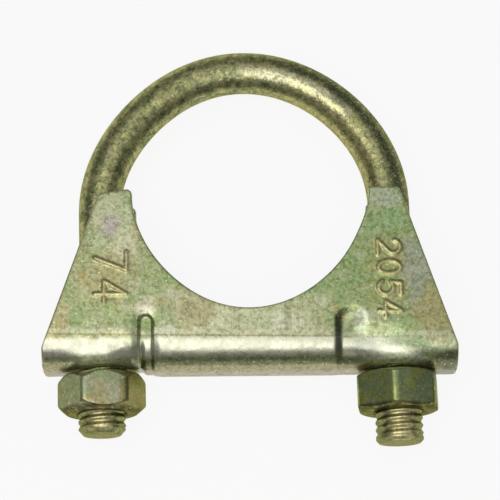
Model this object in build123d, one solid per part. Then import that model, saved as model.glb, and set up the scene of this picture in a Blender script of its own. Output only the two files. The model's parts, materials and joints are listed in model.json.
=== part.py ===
from build123d import *
import os
from math import cos, radians, sin, sqrt, tan

# Exhaust U-bolt clamp, lying on its back. The origin is the centre of the pipe seat.
# +Z is the pipe's axis and points up, +X runs across the clamp, +Y runs up the legs to the crown.

# Saddle: one folded sheet with the pipe seat cut into both cheeks
seat_radius = 19.5
sheet = 2.0
saddle_width = 13.0
bend_radius = 5.1
seat_to_web = 10.15          # bottom of the seat to the web's underside
web_overhang = 9.75          # leg to the web's end
web_end_height = 3.4         # straight end of the web, below the sloping flanks
horn_height = 0.85           # horn tips above the pipe's centre
horn_width = 5.7
horn_rounding = 0.7
flank_rounding = 1.5

# Bolt holes, and the bosses pressed out round them as seats for the nuts
hole_clearance = 0.45        # thread to hole, on the radius
boss_radius = 5.6
boss_drop = 0.1
boss_bend_radius = 3.4       # tighter than the channel's folds, which widens the flat under a nut
boss_flank_angle = 42.0
boss_rounding = 2.0

# Darts pressed inwards round the channel, which stiffen the two folds
dart_from_leg = 7.95
dart_depth = 0.9
dart_width = 3.0
dart_height = 8.75           # web's underside to a dart's top end

# U-bolt: M8 legs on a rolled shank, one leg standing out further than the other
shank_diameter = 7.1
crown_slack = 1.55           # how much wider the crown's inside is than the seat, on the radius
thread_diameter = 7.9
thread_length = 22.0
thread_runout = 1.2
left_stick_out = 3.6         # thread below the nut
right_stick_out = 5.2
leg_chamfer = 0.8
lean = 1.35                  # degrees that the loose bolt leans in its holes
crown_x = -0.85              # centre of the crown's bend
crown_y = -1.25

# Hexagon nuts, each turned as it was left
nut_flats = 13.0
nut_height = 6.5
nut_face_radius = 6.1
nut_chamfer_angle = 34.0
nut_countersink = 0.4
thread_clearance = 0.05
nut_gap = 0.05
left_nut_turn = 38.5
right_nut_turn = -6.8

half_width = saddle_width / 2
crown_radius = seat_radius + crown_slack + shank_diameter / 2
hole_radius = thread_diameter / 2 + hole_clearance
web_y = -seat_radius - seat_to_web
boss_y = web_y - boss_drop
nut_corner_radius = nut_flats / sqrt(3)
along_y = Rot(90, 0, 0)


def channel_block(inset, floor, bend):
    """Solid block of a folded channel's section, its sides moved inwards by inset."""
    side = half_width - inset
    roof = horn_height + saddle_width
    corners = [(roof, -side), (floor, -side), (floor, side), (roof, side)]
    section = make_face(Plane.YZ * Polyline(*corners, close=True))
    folds = section.vertices().sort_by(Axis.Y)[:2]
    section = fillet(folds, bend - inset)
    return extrude(section, 2 * (crown_radius + web_overhang), both=True)


def boss(x, inset):
    """Boss round a bolt hole: a lower channel section with tighter folds, inside a wide cone."""
    bottom = boss_y + inset
    foot = boss_radius - inset
    top = web_y + bend_radius
    brim = foot + (top - bottom) / tan(radians(boss_flank_angle))
    corners = [(0, top), (0, bottom), (foot, bottom), (brim, top)]
    profile = make_face(Polyline(*corners, close=True))
    bends = profile.vertices().filter_by(lambda v: v.X > foot / 2 and v.Y < (bottom + top) / 2)
    cone = revolve(fillet(bends, boss_rounding), Axis.Y)
    return channel_block(inset, bottom, boss_bend_radius) & (Pos(x, 0, 0) * cone)


def dart(x, inset):
    """Round bar along the outside of the channel, which presses the skin in by dart_depth."""
    groove = (dart_width**2 / 4 + dart_depth**2) / (2 * dart_depth)
    stand_off = groove - dart_depth
    side = half_width + stand_off
    floor = web_y - stand_off
    top = web_y + dart_height - dart_width / 2
    corners = [(top, side), (floor, side), (floor, -side), (top, -side)]
    path = Plane.YZ.offset(x) * FilletPolyline(*corners, radius=bend_radius + stand_off)
    bar = groove + inset
    tool = sweep(Plane(origin=path @ 0, z_dir=path % 0) * Circle(bar), path=path)
    for z in (-side, side):
        tool += Pos(x, top, z) * Sphere(bar)
    return tool


def pressed_form(inset):
    """The channel with its bosses and darts, its skin moved inwards by inset."""
    form = channel_block(inset, web_y + inset, bend_radius)
    for side in (-1, 1):
        form += boss(side * crown_radius, inset)
        form -= dart(side * (crown_radius - dart_from_leg), inset)
    return form


def cheek_blank():
    """Front view of the saddle as a solid right through: flanks, horns and pipe seat."""
    web_end = crown_radius + web_overhang
    flank_y = web_y + web_end_height
    right = [
        (seat_radius, 0),
        (seat_radius, horn_height),
        (seat_radius + horn_width, horn_height),
        (web_end, flank_y),
        (web_end, 2 * web_y),
    ]
    left = [(-x, y) for x, y in reversed(right)]
    outline = Polyline(*right, *left) + RadiusArc(left[-1], right[0], -seat_radius)
    blank = make_face(outline)
    tips = blank.vertices().filter_by(lambda v: v.Y > horn_height / 2)
    blank = fillet(tips, horn_rounding)
    flanks = blank.vertices().filter_by(lambda v: abs(v.Y - flank_y) < 0.01)
    blank = fillet(flanks, flank_rounding)
    return extrude(blank, saddle_width, both=True)


def make_saddle():
    """One folded and pressed sheet: two cheeks and the web that joins them."""
    saddle = (pressed_form(0) - pressed_form(sheet)) & cheek_blank()
    for side in (-1, 1):
        hole = along_y * Cylinder(hole_radius, 2 * (bend_radius + boss_drop))
        saddle -= Pos(side * crown_radius, web_y, 0) * hole
    return saddle


def in_bolt_frame(shape):
    """Move a shape from the bolt's own frame, centred on its crown, to where the bolt leans."""
    return Pos(crown_x, crown_y, 0) * Rot(0, 0, lean) * shape


def nut_place(side):
    """Place of a nut's centre along its leg, from the crown's centre, with its face on the boss."""
    tilt = radians(lean)
    face_y = boss_y - nut_gap - nut_corner_radius * abs(sin(tilt))
    centre_y = face_y - nut_height / 2 * cos(tilt)
    return (centre_y - crown_y - side * crown_radius * sin(tilt)) / cos(tilt)


def leg_tip(side, stick_out):
    """Place of a leg's tip along the leg, from the crown's centre."""
    return nut_place(side) - nut_height / 2 - stick_out


def leg_end(side, tip):
    """Threaded end of a leg, as a plain bar of the thread's outside diameter."""
    shank = shank_diameter / 2
    thread = thread_diameter / 2
    top = tip + thread_length
    outline = [
        (0, tip),
        (thread - leg_chamfer, tip),
        (thread, tip + leg_chamfer),
        (thread, top - thread_runout),
        (shank, top),
        (0, top),
    ]
    bar = revolve(make_face(Polyline(*outline, close=True)), Axis.Y)
    return Pos(side * crown_radius, 0, 0) * bar


def make_u_bolt():
    """One round bar bent to a U, with a threaded end on each leg."""
    left_tip = leg_tip(-1, left_stick_out)
    right_tip = leg_tip(1, right_stick_out)
    left_top = (-crown_radius, left_tip + thread_length)
    right_top = (crown_radius, right_tip + thread_length)
    path = Line(left_top, (-crown_radius, 0))
    path += CenterArc((0, 0), crown_radius, 180, -180)
    path += Line((crown_radius, 0), right_top)
    bar = sweep(Plane(origin=left_top, z_dir=(0, 1, 0)) * Circle(shank_diameter / 2), path=path)
    bar += leg_end(-1, left_tip)
    bar += leg_end(1, right_tip)
    return in_bolt_frame(bar)


def make_nut(side, turn):
    """Hexagon nut on one leg, with chamfered corners and a countersunk bore."""
    face = nut_height / 2
    overshoot = nut_corner_radius - nut_face_radius + 1
    rise = overshoot * tan(radians(nut_chamfer_angle))
    outline = [
        (0, -face),
        (nut_face_radius, -face),
        (nut_face_radius + overshoot, rise - face),
        (nut_face_radius + overshoot, face - rise),
        (nut_face_radius, face),
        (0, face),
    ]
    barrel = revolve(make_face(Plane.XZ * Polyline(*outline, close=True)), Axis.Z)
    nut = barrel & extrude(RegularPolygon(nut_corner_radius, 6), nut_height, both=True)
    bore = thread_diameter / 2 + thread_clearance
    nut -= Cylinder(bore, 2 * nut_height)
    mouths = nut.edges().filter_by(GeomType.CIRCLE).filter_by(lambda e: e.radius < bore + 0.01)
    nut = chamfer(mouths, nut_countersink)
    seat = Pos(side * crown_radius, nut_place(side), 0)
    return in_bolt_frame(seat * along_y * Rot(0, 0, 90 - turn) * nut)


export_step(make_saddle(), "parts/saddle.step")
export_step(make_u_bolt(), "parts/u_bolt.step")
export_step(make_nut(-1, left_nut_turn), "parts/nut_left.step")
export_step(make_nut(1, right_nut_turn), "parts/nut_right.step")
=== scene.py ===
"""Exhaust U-bolt clamp: yellow passivated steel, photographed from above as it lies on its back."""
import json
import math

import bpy
import numpy as np
from mathutils import Matrix, Vector, geometry


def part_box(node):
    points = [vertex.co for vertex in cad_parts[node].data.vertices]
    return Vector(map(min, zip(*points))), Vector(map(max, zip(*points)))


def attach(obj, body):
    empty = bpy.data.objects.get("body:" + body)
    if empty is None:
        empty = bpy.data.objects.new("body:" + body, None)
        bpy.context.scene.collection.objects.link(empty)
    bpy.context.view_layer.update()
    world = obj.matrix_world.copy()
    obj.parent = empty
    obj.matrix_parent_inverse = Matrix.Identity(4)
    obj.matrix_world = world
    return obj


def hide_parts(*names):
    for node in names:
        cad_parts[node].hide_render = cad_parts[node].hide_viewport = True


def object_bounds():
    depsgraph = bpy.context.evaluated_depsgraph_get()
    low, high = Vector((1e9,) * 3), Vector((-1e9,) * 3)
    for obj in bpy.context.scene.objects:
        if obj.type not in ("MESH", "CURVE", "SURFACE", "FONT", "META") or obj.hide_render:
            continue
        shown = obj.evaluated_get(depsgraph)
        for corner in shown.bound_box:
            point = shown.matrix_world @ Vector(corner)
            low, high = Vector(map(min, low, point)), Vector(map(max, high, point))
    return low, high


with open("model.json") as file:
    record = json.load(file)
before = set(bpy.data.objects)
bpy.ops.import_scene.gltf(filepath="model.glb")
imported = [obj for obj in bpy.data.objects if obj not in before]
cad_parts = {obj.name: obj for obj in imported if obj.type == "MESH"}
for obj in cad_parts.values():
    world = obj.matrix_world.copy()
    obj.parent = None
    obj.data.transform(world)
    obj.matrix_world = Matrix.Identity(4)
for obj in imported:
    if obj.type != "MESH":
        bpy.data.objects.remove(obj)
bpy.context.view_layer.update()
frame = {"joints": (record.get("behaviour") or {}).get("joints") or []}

MM = 0.001
TINY = 1e-6  # keeps a division by a length of 0 from failing

# Lengths are in millimetres and angles in degrees, unless a comment says otherwise. Where the
# saddle's halves differ, a value is given by side: -1 is the left half and 1 the right one. A pair
# called an edge gives a place where something is absent, then the place where it is full.

# Saddle plate
SEAT_RADIUS = 19.5
SEAT_DEPTH = 19.8  # from the pipe's centre to the seat's bottom
SEAT_NARROWING = {-1: 0.5, 1: 0.35}  # how far the seat's diagonals lie inside its circle
SEAT_FLARE = {-1: 0.1, 1: 0.6}  # how far the seat's ends lean outwards
FLARE_Y_EDGE = (-8.0, 0.0)
FLARE_X_SPAN = (20.5, 24.5)  # the lean runs out between these places
HORN_HEIGHT = 0.85
HORN_WIDTH = 5.7
HORN_SLOPE = {-1: 0.8, 1: 0.1}  # fall of a horn's top towards its outer corner
HORN_CORNER = {-1: 0.9, 1: 0.5}  # rounding of a horn's corner at the seat
HORN_ROUNDING = 0.7  # rounding of its outer corner
SHEET = 2.0
SADDLE_WIDTH = 13.0
BEND_RADIUS = 5.1
WEB_Y = -29.75
WEB_END = 34.35
WEB_END_HEIGHT = 3.4  # straight end of the web, below the sloping flanks
FLANK_ROUNDING = 1.5
EDGE_ROUNDING = 0.28
CROWN_RADIUS = 24.6  # of the bar's bend, and the holes' distance from the middle
HOLE_RADIUS = 4.4
HOLE_BLEND = 4.5  # width round a hole in which the inner skin gives way to it
BOSS_BEND_RADIUS = 3.4  # tighter folds, which make the web flat under a nut
# Places in x where the channel's section turns into each boss's and back
BOSS_EDGES = (((-33.0, -27.5), (-19.8, -24.2)), ((16.9, 24.4), (30.0, 25.4)))
DENT_DEPTH = 0.5  # dent in the fold from the left end to the left dart
DENT_EDGES = ((-42.0, -20.0), (-17.2, -18.2))
DENT_FOLD_EDGE = (1.2, -3.6)  # lengths round the section, from the cheek's start

# Darts
DART_DEPTH = 0.9
DART_HEIGHT = 9.2
DART_END_RADIUS = 1.5
DART_WEB_EDGE = (2.0, 6.5)  # lengths round the section, from the web's middle
DART_CRISPNESS = 0.62  # share of the steep walls in a dart's depth on the fold
DART_CHEEK_CRISPNESS = 0.13  # what is added to it on the cheek
CRISP_EDGE = (-2.0, 1.5)  # lengths round the section, from the cheek's start
LEDGE_FOLD_EDGE = (2.6, -0.4)
INNER_DART_EDGE = (3.2, 0.6)  # distances from a dart's middle line, on the inner skin

# Raised numerals that read downwards: the text, its top left corner in the front view, its height
# and the distance from one numeral to the next
NUMERALS = (("74", (-25.6, -10.2), 5.2, 5.0), ("2054", (21.4, -8.6), 3.7, 3.5))
NUMERAL_RELIEF = 0.2
STROKE_REACH = 0.605  # from a stroke's middle to where its relief ends

# Spacing of the plate's mesh
PLATE_STEP = 0.42
HOLE_STEP = PLATE_STEP * 0.7
DART_STEP = PLATE_STEP * 0.4
NUMERAL_STEP = 0.15
NUMERAL_GRID_START = 0.05  # first point's distance from its fine box's corner
BORDER_STEP = 0.2  # spacing at which a hole's border is measured
SAME_POINT = 1e-7  # distance at which two points would be taken for one
EDGE_RINGS = (0.07, 0.16, EDGE_ROUNDING)
EDGE_CLEARANCE = EDGE_ROUNDING + 0.12
FINE_REACH = 3.0  # distance from a dart's middle line within which it is fine
FINE_BOX_REACH = 3.2  # half width of the box that its fine points are taken from
NUMERAL_MARGIN = 0.6  # fine border beside the numerals
NUMERAL_FOOT = 0.2  # and below them
NUMERAL_HEAD = 0.9  # how much taller the fine box is than the numerals

# Bent bar and its threads
SHANK_RADIUS = 3.55
THREAD_RADIUS = 3.95
THREAD_ROOT = 3.66
THREAD_PITCH = 1.25
THREAD_LENGTH = 22.0
FLANK_SLOPE = 1.35  # steeper than a plain V, which leaves crests and roots flat
FLANK_START = 0.2  # how far below the root a flank would start
FLANK_SOFTNESS = 0.35  # share of a smooth curve in a flank
ROOT_RUNOUT = 2.5  # end of the thread over which its roots turn into the shank
CREST_RUNOUT = 1.2  # and over which its crests do
TIP_PLAIN = (0.7, 1.7)  # distances from the tip between which the thread appears
TIP_RADII = (3.1, 3.5)
TIP_SLOPE = 0.9
CROWN = (-0.85, -1.252)  # centre of the bend
SHOULDERS = (0.62, 0.28)  # how far the bend's shoulders lie inside a circle
LEG_LENGTHS = (38.13, 40.93)  # from the bend's ends to the tips
BAR_SIDES = 72
THREAD_STEP = THREAD_PITCH / 14
SHANK_STEP = 0.6
THREAD_OVERLAP = 0.2  # length past a thread that still has fine rings
THREAD_GAP = 0.5  # least distance of the coarse rings from the other thread
CAP_RINGS = (0.85, 0.4)  # sizes of the rings in a tip's face, as shares of its edge
CAP_DISH = 0.05  # rise of each ring over the one before

# Nuts
NUT_FLATS = 13.0
NUT_HEIGHT = 6.5
NUT_BORE = 4.0  # radius
NUT_COUNTERSINK = 0.4
NUT_CORNER_ROUNDING = 1.1
NUT_ANGLE_STEP = 2.5
CHAMFER_MINIMUM = 0.05  # least width of the chamfer
BORE_FILLET, FACE_FILLET, RIM_FILLET = 0.1, 0.35, 0.3
FILLET_PIECES = 4
FILLET_SHARE = 0.45  # longest part of a side that a fillet may take
# By nut: its turn, then the radius at which the chamfer starts and the chamfer's slope, for the
# upper face and for the lower face
NUTS = {
    "nut_left": (38.5, (6.35, 50), (5.8, 41)),
    "nut_right": (-6.8, (6.1, 26), (6.0, 26)),
}

# The photograph's camera
CAMERA_TARGET = (0.124, -8.358, 0.0)
CAMERA_DISTANCE = 343.34
CAMERA_AZIMUTH = 1.51
CAMERA_ELEVATION = 75.01
CAMERA_ROLL = -0.423
CAMERA_LENS = 145.82
CAMERA_SENSOR = 36.0
CAMERA_CLIP_START = 10.0

# Studio, in metres: the sine of a direction's height at which the dim walls end and the ceiling is
# reached, with the levels of both, the soft box that lights the part, and the floor
WALL_TOP, CEILING_EDGE = 0.55, 0.95
WALL_LEVEL, CEILING_LEVEL = 0.16, 0.72
KEY_PLACE = (-0.08, -0.165, 0.45)
KEY_SIZE = (0.25, 0.49)
KEY_TURN = 22.0
KEY_RADIANCE = 1.5
FLOOR_REACH = 3.0
FLOOR_WHITE = (0.85, 0.85, 0.85)
FLOOR_ROUGHNESS = 0.9
FLOOR_SPECULAR = 0.1
FLOOR_GLOW = 0.9


def joint(name):
    return next(j for j in frame["joints"] if j["name"] == name)


UP_LEG = Vector(joint("nut_left_turn")["axis"]).normalized()
LEAN = math.atan2(-UP_LEG.x, UP_LEG.y)
LEAN_MATRIX = np.array(Matrix.Rotation(LEAN, 3, "Z"))


def smoothstep(low, high, x):
    t = np.clip((x - low) / (high - low), 0, 1)
    return t * t * (3 - 2 * t)


def band(x, *edges):
    """1 where x is inside all edges and 0 outside any of them."""
    return math.prod(smoothstep(*edge, x) for edge in edges)


def between(a, b, share):
    return a + (b - a) * share


def unit(vector):
    return vector / np.linalg.norm(vector)


def mesh_object(name, points, faces, body, material):
    """A new smooth piece from points in millimetres, riding on a body."""
    mesh = bpy.data.meshes.new(name)
    mesh.from_pydata((np.asarray(points) * MM).tolist(), [], faces)
    mesh.validate()
    mesh.update()
    mesh.polygons.foreach_set("use_smooth", [True] * len(mesh.polygons))
    mesh.materials.append(material)
    piece = bpy.data.objects.new(name, mesh)
    bpy.context.scene.collection.objects.link(piece)
    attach(piece, body)
    return piece


# Materials

# Colours of the zinc on the plate, as linear red, green and blue
KHAKI = (0.45, 0.46, 0.25)
GREEN = (0.33, 0.43, 0.19)
GREY = (0.54, 0.55, 0.36)
BROWN = (0.44, 0.36, 0.15)
RIGHT_TINT = (1.0, 1.05, 1.0)
STREAK_BROWN = (0.30, 0.28, 0.16)
PALE_LINE = (0.70, 0.70, 0.50)
DARK_LINE = (0.36, 0.32, 0.17)
WEB_BROWN = (0.47, 0.42, 0.25)
# Rubbed pale zinc on the fold, carrying a painted highlight
RUBBED_HIGHLIGHT = (0.65, 0.64, 0.51)
SHADED = (0.20, 0.22, 0.12)
# Painted shade in the right dart's crease
CREASE_SHADE = (0.10, 0.11, 0.08)
NUMERAL_GOLD = (0.66, 0.56, 0.27)

# Colours of the bar
BAR_OLIVE = (0.52, 0.50, 0.24)
BAR_GREEN = (0.24, 0.27, 0.13)
BAR_GREY = (0.36, 0.36, 0.20)
# Rubbed zinc on the crown, carrying a painted highlight
BAR_WORN_HIGHLIGHT = (0.72, 0.68, 0.50)
# Painted shade on the outer side of the bar's right half and on the right leg
BAR_OUTSIDE_SHADE = (0.14, 0.16, 0.09)
# Painted light on the inner side of the bar's right half
BAR_INSIDE_LIGHT = (0.70, 0.63, 0.28)
MOTTLE_DARK = (0.12, 0.13, 0.06)
MOTTLE_PALE = (0.70, 0.63, 0.27)
THREAD_GOLD = (1.0, 0.89, 0.50)
THREAD_KHAKI = (0.74, 0.67, 0.32)
# Painted shade on the threads' sides and undersides
THREAD_SIDE_SHADE = (0.19, 0.21, 0.08)
BAR_REFLECTION = (0.7, 0.68, 0.38)

# Colours of the nuts
NUT_GREY = (0.45, 0.44, 0.29)
NUT_GREEN = (0.34, 0.40, 0.22)
NUT_KHAKI = (0.43, 0.37, 0.15)
RIGHT_NUT_OLIVE = (0.42, 0.46, 0.15)
RIGHT_NUT_GREEN = (0.34, 0.42, 0.22)
# Painted shade at the nuts' lower ends, dark and mottled brown
END_SHADE_DARK = (0.09, 0.09, 0.05)
END_SHADE_BROWN = (0.28, 0.24, 0.09)
NUT_REFLECTION = (0.55, 0.55, 0.28)

# Colours that all the zinc has
SPECK = (0.42, 0.45, 0.32)
GLINT = (0.78, 0.80, 0.50)
WHITE = (1.0, 1.0, 1.0)

# Stains in the cheeks' zinc, with a painted highlight and a painted shade among them: place in the front
# view, half sizes, share and colour
CHEEK_STAINS_AND_LIGHT = (
    ((0, -21), (14, 6), 0.7, (0.70, 0.69, 0.46)),
    ((23, -14), (4, 8), 0.4, (0.46, 0.40, 0.17)),
    ((-23, -14), (4, 6), 0.4, (0.52, 0.45, 0.20)),
    ((-22.6, -5), (4, 6), 0.6, (0.64, 0.66, 0.44)),
    ((-23.0, -5.5), (1.6, 2.8), 0.75, (0.52, 0.44, 0.43)),
    ((-32.0, -21), (2.2, 6), 0.6, (0.50, 0.42, 0.22)),
    ((30.5, -20), (3.6, 6), 0.8, (0.48, 0.40, 0.20)),
    ((24.5, -25.6), (4.5, 1.6), 0.7, (0.22, 0.36, 0.13)),
    ((22.8, -1.2), (2.6, 2.2), 0.6, (0.56, 0.60, 0.50)),
    ((23.6, -5.0), (2.4, 2.2), 0.6, (0.36, 0.50, 0.26)),
    ((27.6, -14), (2.4, 7), 0.7, (0.42, 0.42, 0.35)),
    # Painted highlight beside the right dart
    ((18.4, -22.2), (1.6, 2.4), 0.7, (0.72, 0.72, 0.60)),
    # Painted shade at the top of the fold at the right end
    ((31.0, -24.0), (2.4, 1.8), 0.7, (0.46, 0.46, 0.24)),
    ((-14.4, -24.0), (2.4, 1.4), 0.7, (0.74, 0.74, 0.58)),
    ((-20.5, -9.4), (2.2, 2.8), 0.7, (0.68, 0.66, 0.44)),
    ((-9.0, -20.3), (3.4, 3.2), 0.75, (0.46, 0.42, 0.22)),
    ((-17.4, -19.4), (2.4, 1.8), 0.7, (0.74, 0.70, 0.54)),
    ((6.2, -22.3), (3.2, 2.2), 0.7, (0.78, 0.76, 0.58)),
    ((24.6, -22.1), (2.8, 2.2), 0.7, (0.36, 0.42, 0.22)),
)
# Painted light and shade on the folds, with the same columns and straighter borders: pale over both
# bosses, dark at the right end's lower fold and beside both darts
FOLD_LIGHT_AND_SHADE = (
    ((-24.2, -29.4), (6.0, 2.0), 0.95, (0.95, 0.96, 0.70)),
    ((24.6, -28.5), (5.0, 2.2), 0.8, (0.78, 0.80, 0.60)),
    ((33.2, -28.5), (3.0, 1.7), 0.85, (0.20, 0.21, 0.12)),
    ((18.9, -26.3), (2.4, 1.4), 0.8, (0.46, 0.48, 0.38)),
    ((-19.2, -24.8), (1.5, 2.8), 0.6, (0.40, 0.44, 0.26)),
)
CHEEK_WOBBLE, FOLD_WOBBLE = 0.9, 0.3
STAIN_EDGE = (1.15, 0.55)  # as shares of a stain's half size

STREAK_PATCH = ((0, -21), (15, 5))

# Edges of the plate's colours: two lines along the fold, which fall a little towards +x, the rubbed fold
# with its painted highlight, the painted shade below it, the web, the right half, the numerals and the
# painted shade in the right dart's crease
LINE_SLOPE = 0.0158
PALE_LINE_EDGES = ((-24.45, -24.25), (-23.4, -23.9))
DARK_LINE_EDGES = ((-24.85, -24.65), (-24.4, -24.55))
DARK_LINE_X_EDGE = (18, 15)
RUBBED_HIGHLIGHT_EDGES = ((-24.3, -25.3), (-28.3, -27.2))
RUBBED_HIGHLIGHT_X_EDGE = (28.5, 20)
SHADED_EDGES = ((-27.7, -28.3), (-29.2, -28.9))
SHADED_X_EDGE = (24, 16)
WEB_EDGE = (-28.6, -29.3)
RIGHT_HALF_EDGE = (0, 14)
NUMERAL_Z_EDGE = (6.52, 6.66)
CREASE_SHADE_X_EDGES = ((13.8, 14.4), (15.6, 15.0))
CREASE_SHADE_Y_EDGES = ((-20.6, -21.8), (-28.6, -27.8))

# The bar's rubbed patch on the crown, which carries a painted highlight, and the edges of its colours: in
# z, in x, in y along the threads and in distance from the bend's centre. Painted shade lies on the right
# half's outer side and on the right leg, painted light on that half's inner side, and painted shade on the
# threads' sides and undersides
WORN_HIGHLIGHT_PATCH = ((9, 20.5), (12, 8))
WORN_HIGHLIGHT_Z_EDGE = (2.6, 3.4)
WORN_HIGHLIGHT_RING_EDGE = (25.3, 24.2)
BAR_RIGHT_EDGE = (2, 10)
OUTSIDE_SHADE_RING_EDGE = (24.6, 25.7)
INSIDE_LIGHT_RING_EDGE = (24.2, 22.9)
THREAD_Y_EDGE = (-32, -35)
THREAD_SIDE_SHADE_EDGE = (3.55, 2.9)

# Edges between the two nuts, in x, and of the painted shade at their lower ends, in y
RIGHT_NUT_EDGE = (-5, 5)
NUT_END_SHADE_EDGE = (-35.4, -36.0)

# Painted shade on the nuts' side facets: their edges in x, and the tints that darken them, browner on the
# left nut's right side
FACET_SHADES = (
    (((-27.6, -28.4),), (0.78, 0.77, 0.72)),
    (((-21.7, -20.9), (-10, -12)), (0.76, 0.70, 0.50)),
    (((26.0, 27.0),), (0.78, 0.78, 0.78)),
)


class Nodes:
    """Short names for building a material's node tree."""

    def __init__(self, name):
        self.material = bpy.data.materials.new(name)
        self.material.use_nodes = True
        self.tree = self.material.node_tree
        self.shader = self.tree.nodes["Principled BSDF"]
        self.coords = self.tree.nodes.new("ShaderNodeTexCoord").outputs["Object"]

    def link(self, source, target):
        self.tree.links.new(source, target)

    def feed(self, socket, value):
        """Link a socket to an output, or give it a number or a colour."""
        if isinstance(value, bpy.types.NodeSocket):
            self.link(value, socket)
        elif isinstance(value, tuple):
            socket.default_value = (*value, 1)
        else:
            socket.default_value = value

    def mapped(self, shift, scale):
        """The piece's own coordinates in metres, scaled and then shifted."""
        node = self.tree.nodes.new("ShaderNodeMapping")
        self.link(self.coords, node.inputs["Vector"])
        node.inputs["Location"].default_value = shift
        node.inputs["Scale"].default_value = scale
        return node.outputs["Vector"]

    def axes(self):
        """The piece's own coordinates x, y and z, in metres."""
        node = self.tree.nodes.new("ShaderNodeSeparateXYZ")
        self.link(self.coords, node.inputs[0])
        return node.outputs[:3]

    def length(self, vector):
        node = self.tree.nodes.new("ShaderNodeVectorMath")
        node.operation = "LENGTH"
        self.link(vector, node.inputs[0])
        return node.outputs["Value"]

    def math(self, operation, a, b=0.0):
        node = self.tree.nodes.new("ShaderNodeMath")
        node.operation = operation
        self.feed(node.inputs[0], a)
        self.feed(node.inputs[1], b)
        return node.outputs[0]

    def product(self, first, *others):
        for factor in others:
            first = self.math("MULTIPLY", first, factor)
        return first

    def span(self, value, low, high, to_low=0.0, to_high=1.0):
        """Smooth change from to_low to to_high as a value goes from low to high."""
        node = self.tree.nodes.new("ShaderNodeMapRange")
        node.interpolation_type = "SMOOTHSTEP"
        self.link(value, node.inputs["Value"])
        node.inputs["From Min"].default_value = low
        node.inputs["From Max"].default_value = high
        node.inputs["To Min"].default_value = to_low
        node.inputs["To Max"].default_value = to_high
        return node.outputs["Result"]

    def along(self, value, low, high, to_low=0.0, to_high=1.0):
        """The same for a value in metres, with low and high in millimetres."""
        return self.span(value, low * MM, high * MM, to_low, to_high)

    def band(self, value, *edges):
        """1 where a value in metres is inside all edges and 0 outside any of them."""
        return self.product(*[self.along(value, *edge) for edge in edges])

    def mix(self, factor, a, b, blend="MIX"):
        node = self.tree.nodes.new("ShaderNodeMix")
        node.data_type = "RGBA"
        node.blend_type = blend
        for socket, value in ((node.inputs[0], factor), (node.inputs[6], a), (node.inputs[7], b)):
            self.feed(socket, value)
        return node.outputs[2]

    def drift(self, colour, other, value, low, high, share=1.0):
        """A colour that turns into a share of another as a value goes from low to high."""
        return self.mix(self.span(value, low, high, 0, share), colour, other)

    def paint(self, colour, other, share, factor):
        """A colour under a share of another, where a factor is 1."""
        return self.mix(self.product(factor, share), colour, other)

    def noise(self, scale, detail, roughness, distortion=0.0, offset=0.0, stretch=(1, 1, 1)):
        """Noise whose scale is in cells per millimetre; offset picks another part of it."""
        node = self.tree.nodes.new("ShaderNodeTexNoise")
        node.inputs["Scale"].default_value = scale / MM
        node.inputs["Detail"].default_value = detail
        node.inputs["Roughness"].default_value = roughness
        node.inputs["Distortion"].default_value = distortion
        self.link(self.mapped((offset, offset * 0.7, offset * 1.3), stretch), node.inputs["Vector"])
        return node.outputs["Fac"]

    def reach(self, place):
        """Distance in metres from a place in the front view, in millimetres."""
        return self.length(self.mapped((-place[0] * MM, -place[1] * MM, 0), (1, 1, 0)))

    def patch(self, place, size, wobble=CHEEK_WOBBLE):
        """Patch with a soft, uneven border round a place in the front view, 1 inside and 0 outside."""
        scale = [1 / (r * MM) for r in size]
        shift = [-c * MM * k for c, k in zip(place, scale)]
        distance = self.length(self.mapped((*shift, 0), (*scale, 0)))
        uneven = self.math("SUBTRACT", self.noise(0.35, 4, 0.6, 0.3, offset=place[0]), 0.5)
        return self.span(self.math("ADD", distance, self.product(uneven, wobble * 2)), *STAIN_EDGE)

    def ramp(self, value, *stops):
        """Colour ramp with two (place, colour) stops."""
        node = self.tree.nodes.new("ShaderNodeValToRGB")
        for element, (place, colour) in zip(node.color_ramp.elements, stops):
            element.position = place
            element.color = (*colour, 1)
        self.link(value, node.inputs["Fac"])
        return node.outputs["Color"]

    def bump(self, height, distance, strength, normal=None):
        """Normal of a surface with bumps of some height in millimetres, over an earlier normal."""
        node = self.tree.nodes.new("ShaderNodeBump")
        node.inputs["Strength"].default_value = strength
        node.inputs["Distance"].default_value = distance * MM
        self.link(height, node.inputs["Height"])
        if normal is not None:
            self.link(normal, node.inputs["Normal"])
        return node.outputs["Normal"]


def zinc(n, colour, roughness, speckle, grain):
    """Yellow passivated zinc over a colour that drifts: fine specks, uneven gloss and a grain."""
    speck = n.noise(1.5, 4, 0.65, 0.3, offset=5)
    colour = n.mix(speckle, colour, n.ramp(speck, (0.36, SPECK), (0.56, WHITE)), "MULTIPLY")
    glint = n.span(n.noise(2.6, 2, 0.5, 0.2, offset=23), 0.6, 0.72)
    colour = n.mix(n.product(glint, speckle), colour, GLINT)
    n.link(colour, n.shader.inputs["Base Color"])
    n.shader.inputs["Metallic"].default_value = 0.9
    uneven = n.span(n.noise(0.7, 3, 0.6, 0.3, offset=3), 0.3, 0.7, -0.06, 0.08)
    n.link(n.math("ADD", uneven, roughness), n.shader.inputs["Roughness"])
    normal = n.bump(n.noise(2.2, 3, 0.6, offset=9), 0.03 * grain, 0.6)
    normal = n.bump(n.noise(0.45, 2, 0.5, offset=17), 0.10 * grain, 0.5, normal)
    n.link(normal, n.shader.inputs["Normal"])
    return n.material


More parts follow.
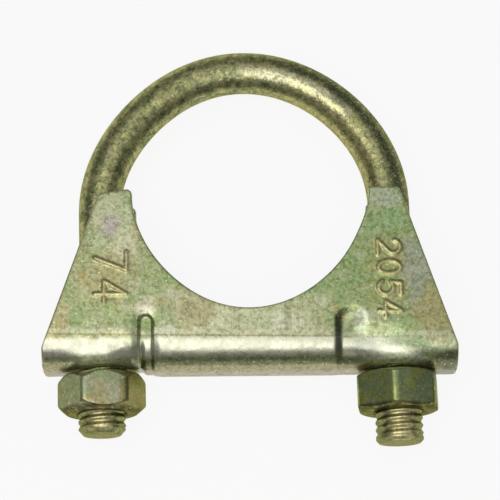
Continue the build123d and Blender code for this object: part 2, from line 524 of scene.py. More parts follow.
def plate_material():
    """The saddle: khaki drifting to green and grey, rubbed pale where the sheet was folded, with a painted
    highlight there, and painted light and shade on the folds, beside the darts and in the right dart's
    crease.
    """
    n = Nodes("plate_zinc")
    x, y, z = n.axes()
    colour = n.drift(KHAKI, GREEN, n.noise(0.13, 4, 0.6, 0.8), 0.4, 0.6)
    colour = n.drift(colour, GREY, n.noise(0.35, 4, 0.6, 0.5, offset=11), 0.48, 0.66, 0.7)
    colour = n.drift(colour, BROWN, n.noise(0.3, 3, 0.6, 0.5, offset=37), 0.54, 0.7, 0.7)
    # Stains, with a painted highlight and a painted shade among them
    for place, size, share, tint in CHEEK_STAINS_AND_LIGHT:
        colour = n.paint(colour, tint, share, n.patch(place, size))
    colour = n.mix(n.along(x, *RIGHT_HALF_EDGE), colour, RIGHT_TINT, "MULTIPLY")
    streaks = n.noise(1.4, 3, 0.6, offset=3, stretch=(1, 0.06, 0.06))
    streaked = n.product(n.patch(*STREAK_PATCH), n.span(streaks, 0.5, 0.62, 0, 0.45))
    colour = n.mix(streaked, colour, STREAK_BROWN)
    line = n.math("ADD", y, n.product(x, LINE_SLOPE))
    colour = n.paint(colour, PALE_LINE, 0.5, n.band(line, *PALE_LINE_EDGES))
    colour = n.mix(n.along(y, *WEB_EDGE), colour, WEB_BROWN)
    # Rubbed pale band along the fold, with a painted highlight where the fold's highlight falls, less of
    # it towards the right end
    rubbed_highlight = n.product(n.band(y, *RUBBED_HIGHLIGHT_EDGES), n.along(x, *RUBBED_HIGHLIGHT_X_EDGE, 0.35, 0.95))
    colour = n.paint(colour, RUBBED_HIGHLIGHT, 0.9, rubbed_highlight)
    shaded = n.product(n.band(y, *SHADED_EDGES), n.along(n.math("ABSOLUTE", x), *SHADED_X_EDGE))
    colour = n.paint(colour, SHADED, 0.7, shaded)
    # Painted light over both bosses, painted shade at the right end and beside both darts
    for place, size, share, tint in FOLD_LIGHT_AND_SHADE:
        colour = n.paint(colour, tint, share, n.patch(place, size, FOLD_WOBBLE))
    # Painted shade in the right dart's crease
    crease_shade = n.product(n.band(x, *CREASE_SHADE_X_EDGES), n.band(y, *CREASE_SHADE_Y_EDGES))
    colour = n.paint(colour, CREASE_SHADE, 0.8, crease_shade)
    dark_line = n.product(n.band(line, *DARK_LINE_EDGES), n.along(x, *DARK_LINE_X_EDGE, 0.25, 1.0))
    colour = n.paint(colour, DARK_LINE, 0.75, dark_line)
    colour = n.paint(colour, NUMERAL_GOLD, 0.6, n.along(z, *NUMERAL_Z_EDGE))
    roughness = n.math("SUBTRACT", 0.34, n.product(rubbed_highlight, 0.06))
    return zinc(n, colour, roughness, n.span(rubbed_highlight, 0.2, 0.9, 0.75, 0.15), 1.0)


def bar_material():
    """The bent bar: dark, mottled olive, rubbed over its crown with a painted highlight there, painted
    shade on the outer side of its right half and on the right leg, painted light on the inner side of that
    half, golden on its threads with painted shade on their sides and undersides.
    """
    n = Nodes("bar_zinc")
    x, y, z = n.axes()
    from_crown = n.reach(CROWN)
    colour = n.drift(BAR_OLIVE, BAR_GREEN, n.noise(0.5, 4, 0.65, 0.5), 0.4, 0.62)
    colour = n.drift(colour, BAR_GREY, n.noise(0.2, 3, 0.6, 0.4, offset=11), 0.5, 0.7, 0.7)
    # Rubbed patch over the crown, with a painted highlight on it
    worn_highlight = n.product(n.patch(*WORN_HIGHLIGHT_PATCH), n.along(z, *WORN_HIGHLIGHT_Z_EDGE))
    worn_highlight = n.product(worn_highlight, n.along(from_crown, *WORN_HIGHLIGHT_RING_EDGE))
    colour = n.paint(colour, BAR_WORN_HIGHLIGHT, 0.6, worn_highlight)
    right = n.along(x, *BAR_RIGHT_EDGE)
    # Painted shade on the outer side of the right half and on the right leg
    outside = n.product(right, n.along(from_crown, *OUTSIDE_SHADE_RING_EDGE))
    colour = n.paint(colour, BAR_OUTSIDE_SHADE, 0.8, outside)
    # Painted light on the inner side of the right half
    inside = n.product(right, n.along(from_crown, *INSIDE_LIGHT_RING_EDGE))
    colour = n.paint(colour, BAR_INSIDE_LIGHT, 0.45, inside)
    mottle = n.noise(1.1, 3, 0.7, 0.6, offset=51)
    colour = n.drift(colour, MOTTLE_DARK, mottle, 0.53, 0.63, 0.6)
    colour = n.drift(colour, MOTTLE_PALE, mottle, 0.45, 0.36, 0.5)
    turned = n.drift(THREAD_GOLD, THREAD_KHAKI, n.noise(0.7, 3, 0.6, 0.5, offset=31), 0.42, 0.6)
    # Painted shade on the threads' sides and undersides
    turned = n.mix(n.along(z, *THREAD_SIDE_SHADE_EDGE, 0, 0.85), turned, THREAD_SIDE_SHADE)
    colour = n.paint(colour, turned, 0.85, n.along(y, *THREAD_Y_EDGE))
    roughness = n.math("SUBTRACT", 0.36, n.product(worn_highlight, 0.18))
    n.feed(n.shader.inputs["Specular Tint"], BAR_REFLECTION)
    return zinc(n, colour, roughness, 0.7, 2.6)


def nut_material():
    """The nuts: smooth grey green with patches of khaki, painted shade on some side facets, and painted
    shade, dark and mottled brown, at their lower ends.
    """
    n = Nodes("nut_zinc")
    x, y = n.axes()[:2]
    colour = n.drift(NUT_GREY, NUT_GREEN, n.noise(0.2, 3, 0.6, 0.4), 0.42, 0.62)
    colour = n.drift(colour, NUT_KHAKI, n.noise(0.3, 3, 0.6, 0.4, offset=11), 0.5, 0.68, 0.7)
    right = n.drift(RIGHT_NUT_OLIVE, RIGHT_NUT_GREEN, n.noise(0.25, 3, 0.6, 0.4, offset=7), 0.42, 0.6)
    colour = n.mix(n.along(x, *RIGHT_NUT_EDGE), colour, right)
    # Painted shade on some side facets
    for edges, tint in FACET_SHADES:
        colour = n.mix(n.band(x, *edges), colour, tint, "MULTIPLY")
    # Painted shade at the lower ends, dark and mottled brown
    end_shade = n.drift(END_SHADE_DARK, END_SHADE_BROWN, n.noise(0.6, 3, 0.6, 0.4, offset=41), 0.45, 0.66)
    colour = n.mix(n.along(y, *NUT_END_SHADE_EDGE, 0, 0.9), colour, end_shade)
    n.feed(n.shader.inputs["Specular Tint"], NUT_REFLECTION)
    return zinc(n, colour, 0.33, 0.5, 1.2)


PLATE, BAR, NUT = plate_material(), bar_material(), nut_material()


# Saddle

class Section:
    """Outer skin of a folded channel's section, by the length s round it from the web's middle."""

    def __init__(self, floor, bend):
        self.floor, self.bend = floor, bend
        self.flat = SADDLE_WIDTH / 2 - bend
        self.cheek = self.flat + bend * math.pi / 2

    def skin(self, s):
        """Point (y, z) and outward normal (y, z); s is positive towards the front cheek."""
        a = np.abs(s)
        side = np.sign(s)
        turn = np.clip((a - self.flat) / self.bend, 0, math.pi / 2)
        y = self.floor + self.bend * (1 - np.cos(turn)) + np.maximum(a - self.cheek, 0)
        z = np.minimum(a, self.flat) + self.bend * np.sin(turn)
        return y, z * side, -np.cos(turn), np.sin(turn) * side

    def at_height(self, y):
        """Length at which the skin reaches height y, outside the flat web."""
        top = self.floor + self.bend
        turn = np.arccos(np.clip((top - y) / self.bend, 0, 1))
        return self.flat + self.bend * turn + np.maximum(y - top, 0)

    def at_depth(self, z, inset=0.0):
        """Length at which the skin, or a skin set in from it, reaches depth z below the cheek."""
        turn = np.arcsin(np.clip((np.abs(z) - self.flat) / (self.bend - inset), 0, 1))
        return np.sign(z) * np.where(np.abs(z) < self.flat, np.abs(z), self.flat + self.bend * turn)


CHANNEL = Section(WEB_Y, BEND_RADIUS)
BOSS = Section(WEB_Y, BOSS_BEND_RADIUS)
BOSS_STRETCH = BOSS.at_height(WEB_Y + BEND_RADIUS) / CHANNEL.cheek


def boss_length(s):
    """Length round a boss's section for a length round the channel's."""
    a = np.abs(s)
    return np.sign(s) * (np.minimum(a, CHANNEL.cheek) * BOSS_STRETCH + np.maximum(a - CHANNEL.cheek, 0))


def past_fold(s, low, high):
    """Smooth change from 0 to 1 between two lengths, counted from where the cheek starts."""
    return smoothstep(CHANNEL.cheek + low, CHANNEL.cheek + high, np.abs(s))


def arc(centre, radius, start, end, step):
    """Points of an arc in degrees, both ends included."""
    count = max(2, math.ceil(abs(math.radians(end - start)) * radius / step) + 1)
    angle = np.radians(np.linspace(start, end, count))
    return np.stack([centre[0] + radius * np.cos(angle), centre[1] + radius * np.sin(angle)], -1)


def rounded_corner(before, corner, after, radius, step):
    """Arc that rounds a corner of an outline."""
    before, corner, after = (np.array(p, float) for p in (before, corner, after))
    u, v = unit(before - corner), unit(after - corner)
    half = math.acos(float(u @ v)) / 2
    centre = corner + unit(u + v) * radius / math.sin(half)
    first = corner + u * radius / math.tan(half) - centre
    last = corner + v * radius / math.tan(half) - centre
    start = math.degrees(math.atan2(first[1], first[0]))
    sweep = math.degrees(math.atan2(first[0] * last[1] - first[1] * last[0], float(first @ last)))
    return arc(centre, radius, start, start + sweep, step)


def densify(points, step):
    """The same open outline with no stretch longer than step."""
    out = [points[:1]]
    for a, b in zip(points[:-1], points[1:]):
        count = max(1, math.ceil(np.linalg.norm(b - a) / step))
        t = np.linspace(0, 1, count + 1)[1:, None]
        out.append(a + (b - a) * t)
    return np.concatenate(out)


def cheek_edge(side):
    """One side of a cheek's edge as (x, y) points, from the seat's bottom to the web's end."""
    horn_inside = (SEAT_RADIUS, HORN_HEIGHT)
    horn_outside = (SEAT_RADIUS + HORN_WIDTH, HORN_HEIGHT - HORN_SLOPE[side])
    flank = (WEB_END, WEB_Y + WEB_END_HEIGHT)
    web_end = (WEB_END, WEB_Y)
    seat = arc((0, 0), SEAT_RADIUS, -90, 0, PLATE_STEP)
    diagonal = 4 * (seat[:, 0] * seat[:, 1] / SEAT_RADIUS**2) ** 2
    seat = seat * (1, SEAT_DEPTH / SEAT_RADIUS)
    seat = seat * (1 - SEAT_NARROWING[side] / SEAT_RADIUS * diagonal)[:, None]
    tip = rounded_corner((SEAT_RADIUS, 0), horn_inside, horn_outside, HORN_CORNER[side], PLATE_STEP / 3)
    shoulder = rounded_corner(horn_inside, horn_outside, flank, HORN_ROUNDING, PLATE_STEP / 2)
    heel = rounded_corner(horn_outside, flank, web_end, FLANK_ROUNDING, PLATE_STEP / 2)
    edge = densify(np.concatenate([seat, tip, shoulder, heel, [web_end]]), PLATE_STEP)
    flare = SEAT_FLARE[side] * smoothstep(*FLARE_Y_EDGE, edge[:, 1])
    flare = flare * (1 - smoothstep(*FLARE_X_SPAN, edge[:, 0]))
    return edge + flare[:, None] * (1, 0)


def blank_outline():
    """Closed outline of the flat blank as (x, s) points, counter-clockwise."""
    halves = {}
    for side in (1, -1):
        edge = cheek_edge(side)
        front = np.stack([edge[:, 0], CHANNEL.at_height(edge[:, 1])], -1)
        web = densify(np.array([(WEB_END, CHANNEL.flat), (WEB_END, 0.0)]), PLATE_STEP)[1:]
        halves[side] = np.concatenate([front, web])[1:-1] * (side, 1)
    top = np.array([(0.0, CHANNEL.at_height(-SEAT_DEPTH))])
    end = np.array([(WEB_END, 0.0)])
    right = np.concatenate([top, halves[1], end, (halves[1] * (1, -1))[::-1]])
    left = np.concatenate([top * (1, -1), halves[-1] * (1, -1), end * (-1, 1), halves[-1][::-1]])
    return np.concatenate([right, left])[::-1]


def hole_outline(x, step, inset=0.0):
    """Bolt hole, drilled straight through a boss, on one skin as (x, s) points, clockwise."""
    ring = arc((0, 0), HOLE_RADIUS, 0, -360, step)[:-1]
    return np.stack([x + ring[:, 0], BOSS.at_depth(ring[:, 1], inset) / BOSS_STRETCH], -1)


def hole_reach(direction, inset):
    """Distance from a hole's middle to its border on one skin of the blank."""
    border = hole_outline(0, BORDER_STEP, inset)
    angle = np.arctan2(border[:, 1], border[:, 0])
    order = np.argsort(angle)
    return np.interp(direction, angle[order], np.hypot(*border[order].T), period=2 * math.pi)


def lies_inside(points, loop):
    """True where a point lies inside a closed loop."""
    x, y = points[:, 0], points[:, 1]
    inside = np.zeros(len(points), bool)
    for (xa, ya), (xb, yb) in zip(loop, np.roll(loop, -1, 0)):
        if ya == yb:
            continue
        crosses = (ya > y) != (yb > y)
        inside ^= crosses & (x < (xb - xa) * (y - ya) / (yb - ya) + xa)
    return inside


def distance_to(points, path):
    """Least distance from each point to an open polyline."""
    best = np.full(len(points), np.inf)
    for a, b in zip(path[:-1], path[1:]):
        d = b - a
        t = np.clip(((points - a) @ d) / (d @ d), 0, 1)
        best = np.minimum(best, np.hypot(*(points - a - t[:, None] * d).T))
    return best


def distance_to_loop(points, loop):
    """Least distance from each point to a closed loop."""
    return distance_to(points, np.concatenate([loop, loop[:1]]))


def inset_loop(loop, distance):
    """A closed counter-clockwise loop moved inwards; a clockwise one moves outwards."""
    ahead = np.roll(loop, -1, 0) - np.roll(loop, 1, 0)
    normal = np.stack([-ahead[:, 1], ahead[:, 0]], -1)
    return loop + normal / np.linalg.norm(normal, axis=1)[:, None] * distance


class Dart:
    """Groove pressed in round the channel.

    x is its place, floors are the half widths of its floor and walls the widths of its walls, left
    and right, and shoulder is what the soft part of the walls is wider. Only the share on_web of
    its depth is left where it crosses the web. A ledge, if there is one, takes the groove's place
    on the fold: its depth, and its right edge in x."""

    def __init__(self, x, floors, walls, shoulder, on_web, ledge=None):
        self.x, self.floors, self.walls, self.shoulder = x, floors, walls, shoulder
        self.on_web, self.ledge = on_web, ledge

    def share(self, s):
        """Share of the dart's depth at a length round the section."""
        return self.on_web + (1 - self.on_web) * smoothstep(*DART_WEB_EDGE, np.abs(s))

    def ring(self, x, s):
        """Distance from the groove's middle line, and the share of it that lies to the right."""
        top = CHANNEL.cheek + DART_HEIGHT - BEND_RADIUS - DART_END_RADIUS
        beyond = np.maximum(np.abs(s) - top, 0)
        ring = np.hypot(x - self.x, beyond)
        return ring, 0.5 + 0.5 * (x - self.x) / np.maximum(ring, TINY)

    def is_near(self, points):
        """True for points that need a fine mesh."""
        return self.ring(*points.T)[0] < FINE_REACH

    def outer_depth(self, x, s):
        """Depth of the groove in the outer skin. Squared, the share to the right gives its round
        top end more of the left side's form."""
        ring, right = self.ring(x, s)
        right = right**2
        floor = between(*self.floors, right)
        wall = between(*self.walls, right)
        steep = 1 - smoothstep(0, 1, (ring - floor) / wall)
        soft = 1 - smoothstep(0, 1, (ring - floor) / (wall + self.shoulder))
        crisp = DART_CRISPNESS + DART_CHEEK_CRISPNESS * past_fold(s, *CRISP_EDGE)
        groove = DART_DEPTH * between(soft, steep, crisp)
        if self.ledge:
            level, right_edge = self.ledge
            edge = self.x - self.floors[0]
            below = level * band(x, (edge - self.walls[0], edge), right_edge)
            groove = between(groove, below, past_fold(s, *LEDGE_FOLD_EDGE))
        return groove * self.share(s)

    def inner_depth(self, x, s):
        """Depth of the groove in the inner skin, which is even and rounder."""
        return DART_DEPTH * smoothstep(*INNER_DART_EDGE, self.ring(x, s)[0]) * self.share(s)


DARTS = (
    Dart(-17.1, floors=(0.95, 0.85), walls=(0.38, 0.42), shoulder=1.3, on_web=0.3),
    Dart(15.9, floors=(0.6, 0.2), walls=(1.45, 3.6), shoulder=0.4, on_web=0.1, ledge=(0.65, (30.0, 18.6))),
)


def dent_depth(x, s):
    return DENT_DEPTH * past_fold(s, *DENT_FOLD_EDGE) * band(x, *DENT_EDGES)


def glyph_curve(centre, radii, start, end, count=13):
    angle = np.radians(np.linspace(start, end, count))
    return np.stack([centre[0] + radii[0] * np.cos(angle), centre[1] + radii[1] * np.sin(angle)], -1)


# Strokes of the numerals, in units of their height
FLAG_OF_5 = [(0.58, 1.0), (0.08, 1.0), (0.04, 0.55)]
FOOT_OF_2 = [(0.0, 0.0), (0.62, 0.0)]
GLYPHS = {
    "0": glyph_curve((0.3, 0.5), (0.3, 0.5), 0, 360),
    "2": np.concatenate([glyph_curve((0.3, 0.7), (0.3, 0.3), 170, -35), FOOT_OF_2]),
    "4": np.array([(0.68, 0.3), (0.0, 0.3), (0.42, 1.0), (0.42, 0.0)]),
    "5": np.concatenate([FLAG_OF_5, glyph_curve((0.28, 0.33), (0.32, 0.33), 120, -150)]),
    "7": np.array([(0.0, 1.0), (0.6, 1.0), (0.2, 0.0)]),
}


def numeral_strokes():
    """All strokes as polylines in the front view."""
    for text, (x, y), height, pitch in NUMERALS:
        for place, letter in enumerate(text):
            along, up = GLYPHS[letter].T * height
            yield np.stack([x + up, y - place * pitch - along], -1)


def numeral_height(x, s):
    """Height of the numerals' relief on the front cheek."""
    points = np.stack([x, s - CHANNEL.cheek + WEB_Y + BEND_RADIUS], -1)
    nearest = np.minimum.reduce([distance_to(points, stroke) for stroke in numeral_strokes()])
    return NUMERAL_RELIEF * (1 - smoothstep(0, STROKE_REACH, nearest))


def make_way_for_holes(x, s):
    """Places on the blank for the inner skin, where the straight holes come out wider."""
    for side in (-1, 1):
        away = np.stack([x - side * CROWN_RADIUS, s], -1)
        reach = np.hypot(*away.T)
        direction = np.arctan2(away[:, 1], away[:, 0])
        hole = hole_reach(direction, 0)
        wider = hole_reach(direction, SHEET) - hole
        push = wider * (1 - smoothstep(0, 1, (reach - hole) / HOLE_BLEND)) / np.maximum(reach, 1)
        x, s = x + away[:, 0] * push, s + away[:, 1] * push
    return x, s


def pressed(x, s, inner):
    """Points of the pressed plate's outer or inner skin."""
    if inner:
        x, s = make_way_for_holes(x, s)
    boss_share = sum(band(x, *edges) for edges in BOSS_EDGES)
    skins = zip(CHANNEL.skin(s), BOSS.skin(boss_length(s)))
    y, z, ny, nz = (between(channel, boss, boss_share) for channel, boss in skins)
    size = np.hypot(ny, nz)
    if inner:
        depth = SHEET + dent_depth(x, s) + sum(dart.inner_depth(x, s) for dart in DARTS)
    else:
        depth = dent_depth(x, s) + sum(dart.outer_depth(x, s) for dart in DARTS) - numeral_height(x, s)
    return np.stack([x, y - ny / size * depth, z - nz / size * depth], -1)


def grid_points(low, high, step):
    """Points (x, s) of a square grid between two corners."""
    axes = [np.arange(start, end, step) for start, end in zip(low, high)]
    return np.stack(np.meshgrid(*axes), -1).reshape(-1, 2)


def surface_points(outline, holes):
    """Points (x, s) inside the blank, close together at the darts and the numerals."""
    s_top = CHANNEL.at_height(HORN_HEIGHT)
    grid = grid_points((-WEB_END, -s_top), (WEB_END, s_top), PLATE_STEP)
    patches = []
    s_top = CHANNEL.cheek + DART_HEIGHT
    for dart in DARTS:
        grid = grid[~dart.is_near(grid)]
        patch = grid_points((dart.x - FINE_BOX_REACH, -s_top), (dart.x + FINE_BOX_REACH, s_top), DART_STEP)
        patches.append(patch[dart.is_near(patch)])
    for text, (x, y), height, pitch in NUMERALS:
        s_low = y + CHANNEL.cheek - WEB_Y - BEND_RADIUS - len(text) * pitch - NUMERAL_FOOT
        low = np.array([x - NUMERAL_MARGIN, s_low])
        high = np.array([x + height + NUMERAL_MARGIN, s_low + len(text) * pitch + NUMERAL_HEAD])
        grid = grid[~((grid > low) & (grid < high)).all(1)]
        patches.append(grid_points(low + NUMERAL_GRID_START, high, NUMERAL_STEP))
    points = np.concatenate([grid, *patches])
    points = points[lies_inside(points, outline)]
    clear = distance_to_loop(points, outline) > EDGE_CLEARANCE
    for hole in holes:
        clear &= ~lies_inside(points, hole)
        clear &= distance_to_loop(points, hole) > EDGE_CLEARANCE
    return points[clear]


def triangulate(points, loops):
    """Triangles inside the first loop and outside the others, and the loops' sides, by the numbers
    of the points. The loops' own points come first."""
    sides = []
    for loop in loops:
        index = np.arange(len(sides), len(sides) + len(loop))
        sides += zip(index.tolist(), np.roll(index, -1).tolist())
    result = geometry.delaunay_2d_cdt([Vector(p) for p in points.tolist()], sides, [], 0, SAME_POINT)
    if len(result[0]) != len(points):
        raise ValueError("the blank's triangulation moved or merged points")
    triangles = np.array(result[2])
    middle = points[triangles].mean(1)
    keep = lies_inside(middle, loops[0])
    for hole in loops[1:]:
        keep &= ~lies_inside(middle, hole)
    triangles = triangles[keep]
    a, b, c = (points[triangles[:, k]] for k in range(3))
    area = (b - a)[:, 0] * (c - a)[:, 1] - (b - a)[:, 1] * (c - a)[:, 0]
    return np.where(area[:, None] > 0, triangles, triangles[:, ::-1]), sides


def make_saddle():
    """The folded plate as one closed mesh, with rounded edges."""
    outline = blank_outline()
    holes = [hole_outline(x, HOLE_STEP) for x in (-CROWN_RADIUS, CROWN_RADIUS)]
    loops = [outline, *holes]
    edge_points = [inset_loop(loop, distance) for loop in loops for distance in EDGE_RINGS]
    flat = np.concatenate([*loops, *edge_points, surface_points(outline, holes)])
    triangles, sides = triangulate(flat, loops)

    border = np.minimum.reduce([distance_to_loop(flat, loop) for loop in loops])
    into = np.clip(EDGE_ROUNDING - border, 0, EDGE_ROUNDING)
    rounding = (EDGE_ROUNDING - np.sqrt(EDGE_ROUNDING**2 - into**2))[:, None]
    outer, inner = (pressed(*flat.T, is_inner) for is_inner in (False, True))
    through = (inner - outer) / np.linalg.norm(inner - outer, axis=1)[:, None]
    points = np.concatenate([outer + through * rounding, inner - through * rounding])
    count = len(flat)
    faces = triangles[:, ::-1].tolist() + (triangles + count).tolist()
    faces += [(a, b, b + count, a + count) for a, b in sides]
    return mesh_object("saddle_plate", points, faces, "saddle", PLATE)


# Bent bar with threaded legs

def thread_height(turns):
    """Height of the thread above its root, from 0 to 1, at a phase in turns."""
    away = np.abs((turns % 1) - 0.5) * 2
    flank = np.clip(away * FLANK_SLOPE - FLANK_START, 0, 1)
    return smoothstep(0, 1, flank) * FLANK_SOFTNESS + (1 - FLANK_SOFTNESS) * flank


def leg_radius(from_tip, angle, tip_radius):
    """Radius of a leg at a distance from its tip, with the helical thread."""
    turns = from_tip / THREAD_PITCH - angle / (2 * math.pi)
    root_end = smoothstep(THREAD_LENGTH - ROOT_RUNOUT, THREAD_LENGTH, from_tip)
    crest_end = smoothstep(THREAD_LENGTH - CREST_RUNOUT, THREAD_LENGTH, from_tip)
    root = between(THREAD_ROOT, SHANK_RADIUS, root_end)
    crest = between(THREAD_RADIUS, SHANK_RADIUS, crest_end)
    height = np.maximum(thread_height(turns), 1 - smoothstep(*TIP_PLAIN, from_tip))
    return np.minimum(between(root, crest, height), tip_radius + TIP_SLOPE * from_tip)


def make_u_bolt():
    """One bar: thread, leg, crown, leg, thread, as rings along its centre line."""
    left_length, right_length = LEG_LENGTHS
    bend = math.pi * CROWN_RADIUS
    total = left_length + bend + right_length
    thread = np.arange(0, THREAD_LENGTH + THREAD_OVERLAP, THREAD_STEP)
    middle = np.arange(THREAD_LENGTH + SHANK_STEP, total - THREAD_LENGTH - THREAD_GAP, SHANK_STEP)
    stations = np.concatenate([thread, middle, total - thread[::-1]])
    turn = np.clip((stations - left_length) / CROWN_RADIUS, 0, math.pi)
    before = np.minimum(stations - left_length, 0)
    after = np.maximum(stations - left_length - bend, 0)
    tangent = np.stack([np.sin(turn), np.cos(turn), 0 * turn], -1)
    outwards = np.stack([-np.cos(turn), np.sin(turn), 0 * turn], -1)
    centre = CROWN_RADIUS * outwards
    centre[:, 1] += before - after
    flattening = between(*SHOULDERS, turn / math.pi) * np.sin(2 * turn) ** 2
    centre = centre - outwards * flattening[:, None]
    up = np.array([0.0, 0.0, 1.0])
    across = np.cross(tangent, up)
    stations = stations[:, None]
    angle = np.linspace(0, 2 * math.pi, BAR_SIDES, endpoint=False)[None, :]
    left_radius = leg_radius(stations, angle, TIP_RADII[0])
    right_radius = leg_radius(total - stations, -angle, TIP_RADII[1])
    radius = np.where(stations < total / 2, left_radius, right_radius)
    points = (
        centre[:, None, :]
        + (radius * np.cos(angle))[..., None] * up
        + (radius * np.sin(angle))[..., None] * across[:, None, :]
    ).reshape(-1, 3)
    rings = len(stations)
    grid = np.arange(rings * BAR_SIDES).reshape(rings, BAR_SIDES)
    following = np.roll(grid, -1, 1)
    faces = np.stack([grid[:-1], following[:-1], following[1:], grid[1:]], -1).reshape(-1, 4).tolist()
    for ring, out in ((0, -tangent[0]), (rings - 1, tangent[-1])):
        edge = points[grid[ring]]
        last = grid[ring]
        for share in CAP_RINGS:
            loop = centre[ring] + (edge - centre[ring]) * share + out * CAP_DISH
            new = np.arange(len(points), len(points) + BAR_SIDES)
            points = np.concatenate([points, loop])
            quads = np.stack([last, np.roll(last, -1), np.roll(new, -1), new], -1)
            faces += (quads if ring else quads[:, ::-1]).tolist()
            last = new
        faces.append((last if ring else last[::-1]).tolist())
    points = points @ LEAN_MATRIX.T + np.array([*CROWN, 0])
    return mesh_object("u_bolt_bar", points, faces, "u_bolt", BAR)


# Nuts

def fillet_profile(corners, radii):
    """Open polyline with rounded corners; the count of points doesn't depend on the shape."""
    corners = np.array(corners, float)
    points = [corners[0]]
    for before, corner, after, radius in zip(corners[:-2], corners[1:-1], corners[2:], radii):
        sides = [np.linalg.norm(end - corner) for end in (before, after)]
        cut = min(radius, FILLET_SHARE * sides[0], FILLET_SHARE * sides[1])
        u, v = unit(before - corner), unit(after - corner)
        for t in np.linspace(0, 1, FILLET_PIECES + 1):
            points.append(corner + u * cut * (1 - t) ** 2 + v * cut * t**2)
    points.append(corners[-1])
    return np.array(points)


def hexagon_radius(angle):
    """Distance from the axis to a hexagon's side, its corners rounded; a corner lies at 0."""
    rounding = NUT_CORNER_ROUNDING
    away = abs((angle + math.pi / 6) % (math.pi / 3) - math.pi / 6)
    small = (NUT_FLATS / 2 - rounding) / math.cos(math.pi / 6)
    last = math.atan2(rounding / 2, small + rounding * math.cos(math.pi / 6))
    if away > last:
        return NUT_FLATS / 2 / math.cos(math.pi / 6 - away)
    return small * math.cos(away) + math.sqrt(rounding**2 - (small * math.sin(away)) ** 2)


def chamfer_drop(side, start, slope):
    """Height that a chamfer takes from a side at some distance from the axis."""
    return max(side - start, CHAMFER_MINIMUM) * math.tan(math.radians(slope))


def nut_profile(side, upper, lower):
    """Half section of a nut at one angle, as (radius, depth below its middle) points."""
    half = NUT_HEIGHT / 2
    corners = [
        (NUT_BORE, 0),
        (NUT_BORE, half - NUT_COUNTERSINK),
        (NUT_BORE + NUT_COUNTERSINK, half),
        (lower[0], half),
        (side, half - chamfer_drop(side, *lower)),
        (side, chamfer_drop(side, *upper) - half),
        (upper[0], -half),
        (NUT_BORE + NUT_COUNTERSINK, -half),
        (NUT_BORE, NUT_COUNTERSINK - half),
        (NUT_BORE, 0),
    ]
    lower_half = [BORE_FILLET, BORE_FILLET, FACE_FILLET, RIM_FILLET]
    return fillet_profile(corners, lower_half + lower_half[::-1])[:-1]


def make_nut(node, turn, upper, lower):
    """Hexagon nut with chamfered corners, as profiles round its axis."""
    low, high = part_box(node)
    centre = np.array((low + high) / 2) / MM
    angles = np.radians(np.arange(0, 360, NUT_ANGLE_STEP))
    profiles = np.array([nut_profile(hexagon_radius(angle), upper, lower) for angle in angles])
    radius, depth = profiles[..., 0], profiles[..., 1]
    spin = (angles + math.radians(90 - turn))[:, None]
    points = np.stack([radius * np.cos(spin), -depth, radius * np.sin(spin)], -1).reshape(-1, 3)
    grid = np.arange(radius.size).reshape(radius.shape)
    after = np.roll(grid, -1, 0)
    quads = np.stack([grid, after, np.roll(after, -1, 1), np.roll(grid, -1, 1)], -1)
    points = points @ LEAN_MATRIX.T + centre
    return mesh_object(node + "_hexagon", points, quads.reshape(-1, 4).tolist(), node, NUT)


saddle = make_saddle()
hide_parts("saddle")

u_bolt = make_u_bolt()
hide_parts("u_bolt")

for nut_node, nut_form in NUTS.items():
    nut = make_nut(nut_node, *nut_form)
    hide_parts(nut_node)


# Floor, light and camera

def make_key_light():
    """Level soft box above the part, facing down."""
    data = bpy.data.lights.new("key", "AREA")
    data.shape = "RECTANGLE"
    data.size, data.size_y = KEY_SIZE
    data.energy = KEY_RADIANCE * math.pi * KEY_SIZE[0] * KEY_SIZE[1]
    lamp = bpy.data.objects.new("key", data)
    bpy.context.scene.collection.objects.link(lamp)
    lamp.location = KEY_PLACE
    lamp.rotation_euler = (0, 0, math.radians(KEY_TURN))


def floor_material():
    """White that catches the part's shadow, and glows where the camera or a mirror sees it."""
    n = Nodes("floor_white")
    n.feed(n.shader.inputs["Base Color"], FLOOR_WHITE)
    n.shader.inputs["Roughness"].default_value = FLOOR_ROUGHNESS
    n.shader.inputs["Specular IOR Level"].default_value = FLOOR_SPECULAR
    glow = n.tree.nodes.new("ShaderNodeEmission")
    n.feed(glow.inputs["Color"], WHITE)
    path = n.tree.nodes.new("ShaderNodeLightPath")
    seen = path.outputs["Is Camera Ray"]
    for ray in ("Is Glossy Ray", "Is Transmission Ray"):
        seen = n.math("MAXIMUM", seen, path.outputs[ray])
    mix = n.tree.nodes.new("ShaderNodeMixShader")
    n.link(n.product(seen, FLOOR_GLOW), mix.inputs[0])
    n.link(n.shader.outputs[0], mix.inputs[1])
    n.link(glow.outputs[0], mix.inputs[2])
    n.link(mix.outputs[0], n.tree.nodes["Material Output"].inputs["Surface"])
    return n.material


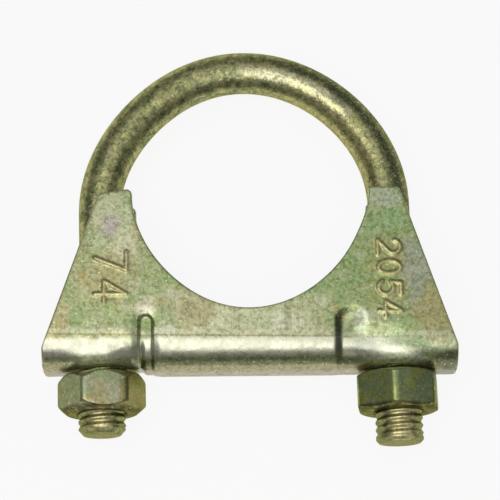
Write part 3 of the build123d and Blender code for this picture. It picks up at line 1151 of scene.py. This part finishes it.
def make_floor():
    """Floor at the part's lowest point, far wider than the picture."""
    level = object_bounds()[0][2]
    corners = [(x * FLOOR_REACH, y * FLOOR_REACH, level) for x, y in ((-1, -1), (1, -1), (1, 1), (-1, 1))]
    mesh = bpy.data.meshes.new("floor")
    mesh.from_pydata(corners, [], [(0, 1, 2, 3)])
    mesh.materials.append(floor_material())
    floor = bpy.data.objects.new("floor", mesh)
    bpy.context.scene.collection.objects.link(floor)


def make_world():
    """Studio whose light comes from above, with dim walls."""
    world = bpy.data.worlds.new("studio")
    bpy.context.scene.world = world
    world.use_nodes = True
    tree = world.node_tree
    light = tree.nodes["Background"]
    light.inputs["Color"].default_value = (*WHITE, 1)
    coords = tree.nodes.new("ShaderNodeTexCoord")
    parts = tree.nodes.new("ShaderNodeSeparateXYZ")
    tree.links.new(coords.outputs["Generated"], parts.inputs[0])
    height = tree.nodes.new("ShaderNodeMapRange")
    height.interpolation_type = "SMOOTHSTEP"
    height.inputs["From Min"].default_value = WALL_TOP
    height.inputs["From Max"].default_value = CEILING_EDGE
    height.inputs["To Min"].default_value = WALL_LEVEL
    height.inputs["To Max"].default_value = CEILING_LEVEL
    tree.links.new(parts.outputs["Z"], height.inputs["Value"])
    tree.links.new(height.outputs["Result"], light.inputs["Strength"])


def make_camera():
    """The photograph's camera, from its target, distance, angles and lens."""
    azimuth, elevation, roll = (math.radians(v) for v in (CAMERA_AZIMUTH, CAMERA_ELEVATION, CAMERA_ROLL))
    back = Vector((
        math.sin(azimuth) * math.cos(elevation),
        -math.cos(azimuth) * math.cos(elevation),
        math.sin(elevation),
    ))
    right = (-back).cross(Vector((0, 1, 0))).normalized()
    up = right.cross(-back)
    tilted_right = right * math.cos(roll) + up * math.sin(roll)
    tilted_up = up * math.cos(roll) - right * math.sin(roll)
    turn = Matrix((tilted_right, tilted_up, back)).transposed().to_4x4()
    data = bpy.data.cameras.new("camera")
    data.lens = CAMERA_LENS
    data.sensor_width = CAMERA_SENSOR
    data.clip_start = CAMERA_CLIP_START * MM
    camera = bpy.data.objects.new("camera", data)
    bpy.context.scene.collection.objects.link(camera)
    place = (Vector(CAMERA_TARGET) + back * CAMERA_DISTANCE) * MM
    camera.matrix_world = Matrix.Translation(place) @ turn
    bpy.context.scene.camera = camera


make_floor()
make_world()
make_key_light()
make_camera()

bpy.context.scene.view_settings.view_transform = "Standard"
